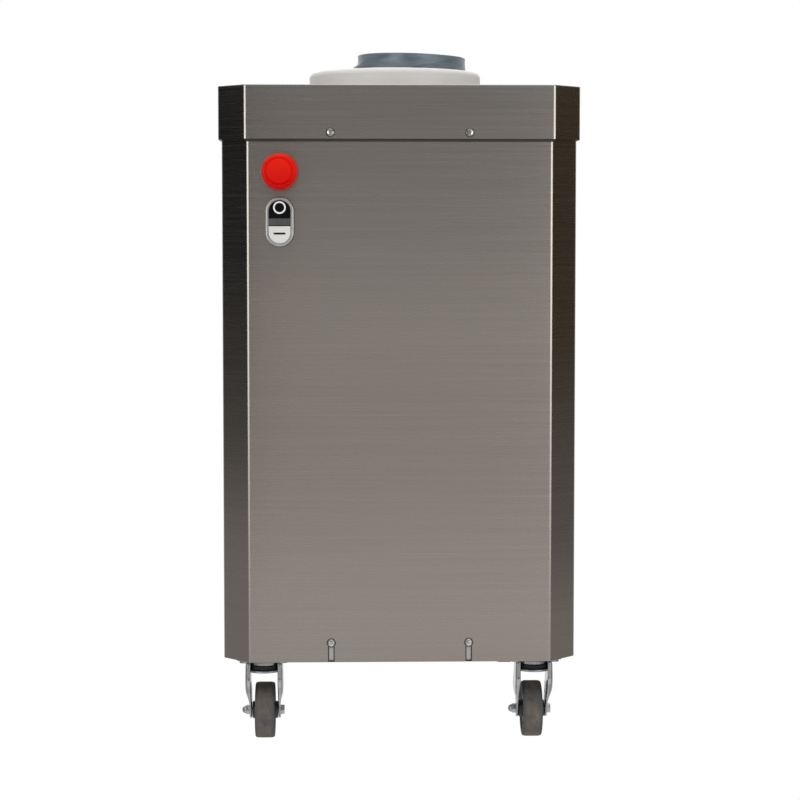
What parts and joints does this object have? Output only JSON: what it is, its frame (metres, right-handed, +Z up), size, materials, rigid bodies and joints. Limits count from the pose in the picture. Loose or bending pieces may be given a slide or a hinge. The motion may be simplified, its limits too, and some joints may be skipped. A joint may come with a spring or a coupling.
{
  "type": "dough rounder",
  "caption": "Floor-standing dough rounder: chamfered stainless cabinet on swivel casters, with an eccentric auger turning in a white collar on top, push buttons and emergency stop in front.",
  "frame": {"origin": "on the floor under the auger's axis, in the middle of the outline", "axes": "+Z up along the auger's axis, -Y towards the front with the controls, +X to the right as seen from the front"},
  "size_m": [0.38, 0.535, 0.75],
  "materials": {
    "brushed_panel": "satin, fine grain",
    "frame_steel": "mill finish",
    "fasteners": "polished",
    "white_polyethylene": "satin",
    "coated_auger": "satin non-stick coating",
    "shaft_steel": "turned",
    "cast_aluminium": "as cast",
    "motor_paint": "satin paint",
    "motor_core": "bare",
    "belt_rubber": "matt",
    "box_plastic": "moulded",
    "black_plastic": "moulded",
    "stop_red": "glossy",
    "bezel_grey": "satin chrome look",
    "lens_grey": "ribbed lens",
    "button_black": "glossy",
    "button_white": "glossy",
    "zinc_plate": "bright zinc",
    "hub_plastic": "moulded",
    "grey_tyre": "matt grey rubber"
  },
  "bodies": {
    "cabinet": {"base_tray": "frame_steel", "top_band": "frame_steel", "top_deck": "frame_steel", "drive_deck": "frame_steel", "uprights": "frame_steel", "front_cover": "brushed_panel", "rear_cover": "brushed_panel", "side_panel_left": "brushed_panel", "side_panel_right": "brushed_panel", "top_cap": "brushed_panel", "cover_screws": "fasteners", "exit_collar": "white_polyethylene", "rounding_cylinder": "white_polyethylene", "cylinder_bolts": "fasteners", "feed_chute": "frame_steel", "bearing_housing": "cast_aluminium", "shaft_bearings": "shaft_steel", "motor_housing": "motor_paint", "stator_core": "motor_core", "motor_flange": "cast_aluminium", "fan_cowl": "motor_paint", "terminal_box": "motor_paint", "drive_belt": "belt_rubber", "control_box": "box_plastic", "control_box_lid": "box_plastic", "contactor": "black_plastic", "estop_base": "black_plastic", "button_bezel": "bezel_grey", "button_lens": "lens_grey", "contact_blocks": "black_plastic", "cable_gland": "black_plastic", "caster_plates": "zinc_plate", "caster_bolts": "zinc_plate"},
    "auger": {"auger": "coated_auger", "drive_shaft": "shaft_steel", "lifting_plug": "fasteners", "driven_pulley": "cast_aluminium"},
    "motor_rotor": {"motor_rotor": "motor_core", "motor_pulley": "cast_aluminium", "cooling_fan": "black_plastic"},
    "estop_stem": {"estop_stem": "black_plastic"},
    "estop_head": {"estop_head": "stop_red"},
    "stop_button": {"stop_button": "button_black"},
    "start_button": {"start_button": "button_white"},
    "caster_front_left": {"caster_fork_front_left": "zinc_plate", "caster_axle_front_left": "zinc_plate"},
    "wheel_front_left": {"caster_hub_front_left": "hub_plastic", "caster_tyre_front_left": "grey_tyre"},
    "caster_front_right": {"caster_fork_front_right": "zinc_plate", "caster_axle_front_right": "zinc_plate"},
    "wheel_front_right": {"caster_hub_front_right": "hub_plastic", "caster_tyre_front_right": "grey_tyre"},
    "caster_rear_left": {"caster_fork_rear_left": "zinc_plate", "caster_axle_rear_left": "zinc_plate"},
    "wheel_rear_left": {"caster_hub_rear_left": "hub_plastic", "caster_tyre_rear_left": "grey_tyre"},
    "caster_rear_right": {"caster_fork_rear_right": "zinc_plate", "caster_axle_rear_right": "zinc_plate"},
    "wheel_rear_right": {"caster_hub_rear_right": "hub_plastic", "caster_tyre_rear_right": "grey_tyre"}
  },
  "joints": [
    {"name": "auger_spin", "type": "hinge", "parent": "cabinet", "child": "auger", "pos_m": [0, 0, 0.6], "axis": [0, 0, 1], "continuous": true},
    {"name": "motor_spin", "type": "hinge", "parent": "cabinet", "child": "motor_rotor", "pos_m": [0, 0.152, 0.3], "axis": [0, 0, 1], "continuous": true},
    {"name": "estop_press", "type": "slide", "parent": "cabinet", "child": "estop_stem", "axis": [0, 1, 0], "range_m": [0, 0.0045]},
    {"name": "estop_twist", "type": "hinge", "parent": "estop_stem", "child": "estop_head", "pos_m": [-0.1247, -0.25, 0.6097], "axis": [0, 1, 0], "range_deg": [0, 40], "stiffness_Nm_per_rad": 0.05},
    {"name": "stop_press", "type": "slide", "parent": "cabinet", "child": "stop_button", "axis": [0, 1, 0], "range_m": [0, 0.0025], "stiffness_N_per_m": 600},
    {"name": "start_press", "type": "slide", "parent": "cabinet", "child": "start_button", "axis": [0, 1, 0], "range_m": [0, 0.0025], "stiffness_N_per_m": 600},
    {"name": "swivel_front_left", "type": "hinge", "parent": "cabinet", "child": "caster_front_left", "pos_m": [-0.1445, -0.1915, 0.085], "axis": [0, 0, 1], "continuous": true},
    {"name": "roll_front_left", "type": "hinge", "parent": "caster_front_left", "child": "wheel_front_left", "pos_m": [-0.1445, -0.1675, 0.03], "axis": [1, 0, 0], "continuous": true},
    {"name": "swivel_front_right", "type": "hinge", "parent": "cabinet", "child": "caster_front_right", "pos_m": [0.1445, -0.1915, 0.085], "axis": [0, 0, 1], "continuous": true},
    {"name": "roll_front_right", "type": "hinge", "parent": "caster_front_right", "child": "wheel_front_right", "pos_m": [0.1445, -0.1675, 0.03], "axis": [1, 0, 0], "continuous": true},
    {"name": "swivel_rear_left", "type": "hinge", "parent": "cabinet", "child": "caster_rear_left", "pos_m": [-0.1445, 0.1915, 0.085], "axis": [0, 0, 1], "continuous": true},
    {"name": "roll_rear_left", "type": "hinge", "parent": "caster_rear_left", "child": "wheel_rear_left", "pos_m": [-0.1445, 0.2155, 0.03], "axis": [1, 0, 0], "continuous": true},
    {"name": "swivel_rear_right", "type": "hinge", "parent": "cabinet", "child": "caster_rear_right", "pos_m": [0.1445, 0.1915, 0.085], "axis": [0, 0, 1], "continuous": true},
    {"name": "roll_rear_right", "type": "hinge", "parent": "caster_rear_right", "child": "wheel_rear_right", "pos_m": [0.1445, 0.2155, 0.03], "axis": [1, 0, 0], "continuous": true}
  ],
  "couplings": [
    {"joint": "motor_spin", "follows": "auger_spin", "ratio": 4}
  ]
}
